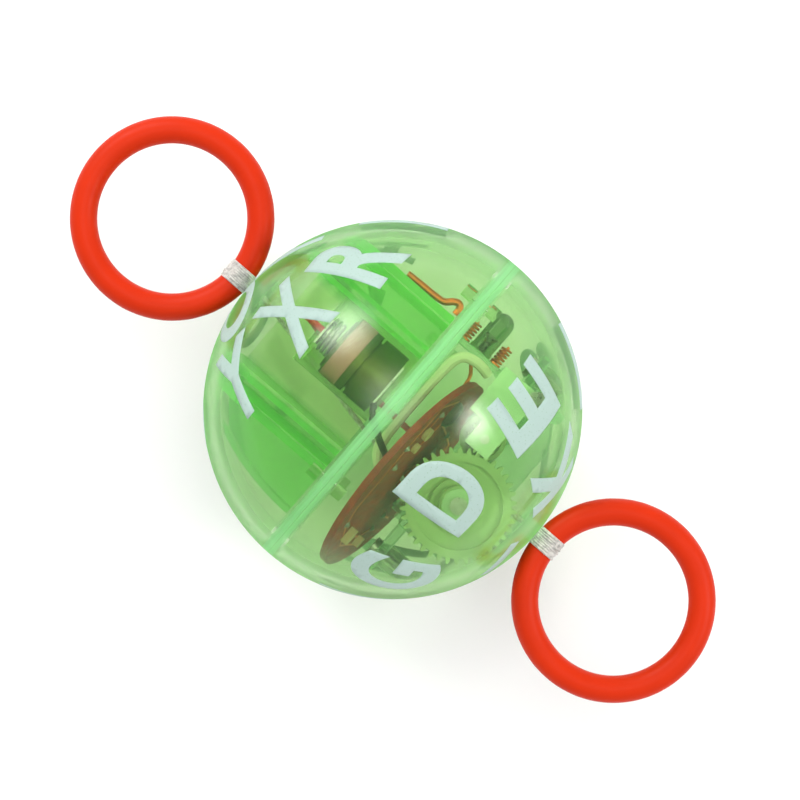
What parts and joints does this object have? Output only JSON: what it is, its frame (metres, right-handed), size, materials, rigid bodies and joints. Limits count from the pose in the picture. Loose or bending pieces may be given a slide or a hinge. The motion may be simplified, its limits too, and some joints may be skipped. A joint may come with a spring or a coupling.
{
  "type": "pull-ring light-up ball",
  "caption": "Clear green ball on a retracting cord with a finger ring at each end; pulling the rings turns a spring spool, gear and flywheel inside.",
  "frame": {"origin": "centre of the ball", "axes": "+X along the pull axis towards the ring nearest the gear, +Z along the spool's shaft towards its cap, the seam lies in the plane X = 0"},
  "size_m": [0.1356, 0.065, 0.065],
  "materials": {
    "shell_plastic": "clear tinted, glossy",
    "outlet_plastic": "clear tinted, glossy",
    "cage_plastic": "clear tinted, glossy",
    "frame_plastic": "clear tinted, glossy",
    "pale_plastic": "clear tinted, glossy",
    "cell_steel": "brushed",
    "steel": "plain",
    "red_insulation": "matt",
    "black_insulation": "matt",
    "cream_insulation": "matt",
    "copper": "plain",
    "board_laminate": "semi-matt",
    "resin": "glossy",
    "board_fittings": "matt",
    "led_resin": "clear tinted, glossy",
    "gear_plastic": "satin",
    "cord_fibre": "twisted multi-strand cord",
    "ring_plastic": "satin"
  },
  "bodies": {
    "ball": {"left_shell": "shell_plastic", "right_shell": "shell_plastic", "left_outlet": "outlet_plastic", "right_outlet": "outlet_plastic", "battery_cage": "cage_plastic", "battery_box": "cage_plastic", "left_wing": "cage_plastic", "mech_frame": "frame_plastic", "spring_cup": "pale_plastic", "shaft_cap": "pale_plastic", "pinion_bridge": "pale_plastic", "cell_outer": "cell_steel", "cell_inner": "cell_steel", "contact_plate": "cell_steel", "contact_spring": "cell_steel", "spool_shaft": "steel", "pinion_pin": "steel", "bridge_screw": "steel", "frame_screws": "steel", "mainspring": "steel", "red_wire": "red_insulation", "black_wire": "black_insulation", "white_wire": "cream_insulation", "copper_lead": "copper", "led_leads": "copper", "vibration_springs": "copper", "circuit_board": "board_laminate", "chip_blob": "resin", "board_parts": "board_fittings", "led": "led_resin"},
    "spool": {"spool": "gear_plastic", "spool_gear": "gear_plastic", "cord_windings": "cord_fibre"},
    "flywheel": {"pinion": "gear_plastic", "flywheel": "gear_plastic"},
    "left_cord": {"left_cord_run": "cord_fibre"},
    "left_swivel": {"left_knot": "cord_fibre"},
    "left_loop": {"left_hitch": "cord_fibre"},
    "left_ring": {"left_ring": "ring_plastic"},
    "right_cord": {"right_cord_run": "cord_fibre"},
    "right_swivel": {"right_knot": "cord_fibre"},
    "right_loop": {"right_hitch": "cord_fibre"},
    "right_ring": {"right_ring": "ring_plastic"}
  },
  "joints": [
    {"name": "spool_turn", "type": "hinge", "parent": "ball", "child": "spool", "pos_m": [0.019, -0.005, 0], "axis": [0, 0, -1], "range_deg": [0, 1375.2], "stiffness_Nm_per_rad": 0.00008, "springref_deg": -343.77, "deforming": ["mainspring"]},
    {"name": "flywheel_turn", "type": "hinge", "parent": "ball", "child": "flywheel", "pos_m": [0.01488, 0.00632, 0], "axis": [0, 0, -1], "range_deg": [-5225.5, 0]},
    {"name": "left_pull", "type": "slide", "parent": "ball", "child": "left_cord", "axis": [-1, 0, 0], "range_m": [0, 0.12], "deforming": ["left_cord_run"]},
    {"name": "left_swivel", "type": "hinge", "parent": "left_cord", "child": "left_swivel", "pos_m": [-0.0305, 0, 0], "axis": [-1, 0, 0], "continuous": true},
    {"name": "left_flop", "type": "hinge", "parent": "left_swivel", "child": "left_loop", "pos_m": [-0.03495, 0, 0], "axis": [0, 1, 0], "range_deg": [-110, 110]},
    {"name": "left_ring_turn", "type": "hinge", "parent": "left_loop", "child": "left_ring", "pos_m": [-0.0502, 0, 0], "axis": [0, 0, 1], "continuous": true},
    {"name": "right_pull", "type": "slide", "parent": "ball", "child": "right_cord", "axis": [1, 0, 0], "range_m": [0, 0.12], "deforming": ["right_cord_run"]},
    {"name": "right_swivel", "type": "hinge", "parent": "right_cord", "child": "right_swivel", "pos_m": [0.0305, 0, 0], "axis": [1, 0, 0], "continuous": true},
    {"name": "right_flop", "type": "hinge", "parent": "right_swivel", "child": "right_loop", "pos_m": [0.03495, 0, 0], "axis": [0, 1, 0], "range_deg": [-110, 110]},
    {"name": "right_ring_turn", "type": "hinge", "parent": "right_loop", "child": "right_ring", "pos_m": [0.0502, 0, 0], "axis": [0, 0, 1], "continuous": true}
  ],
  "couplings": [
    {"joint": "spool_turn", "follows": "left_pull", "rad_per_m": 200},
    {"joint": "flywheel_turn", "follows": "left_pull", "rad_per_m": -760},
    {"joint": "right_pull", "follows": "left_pull", "ratio": 1}
  ]
}
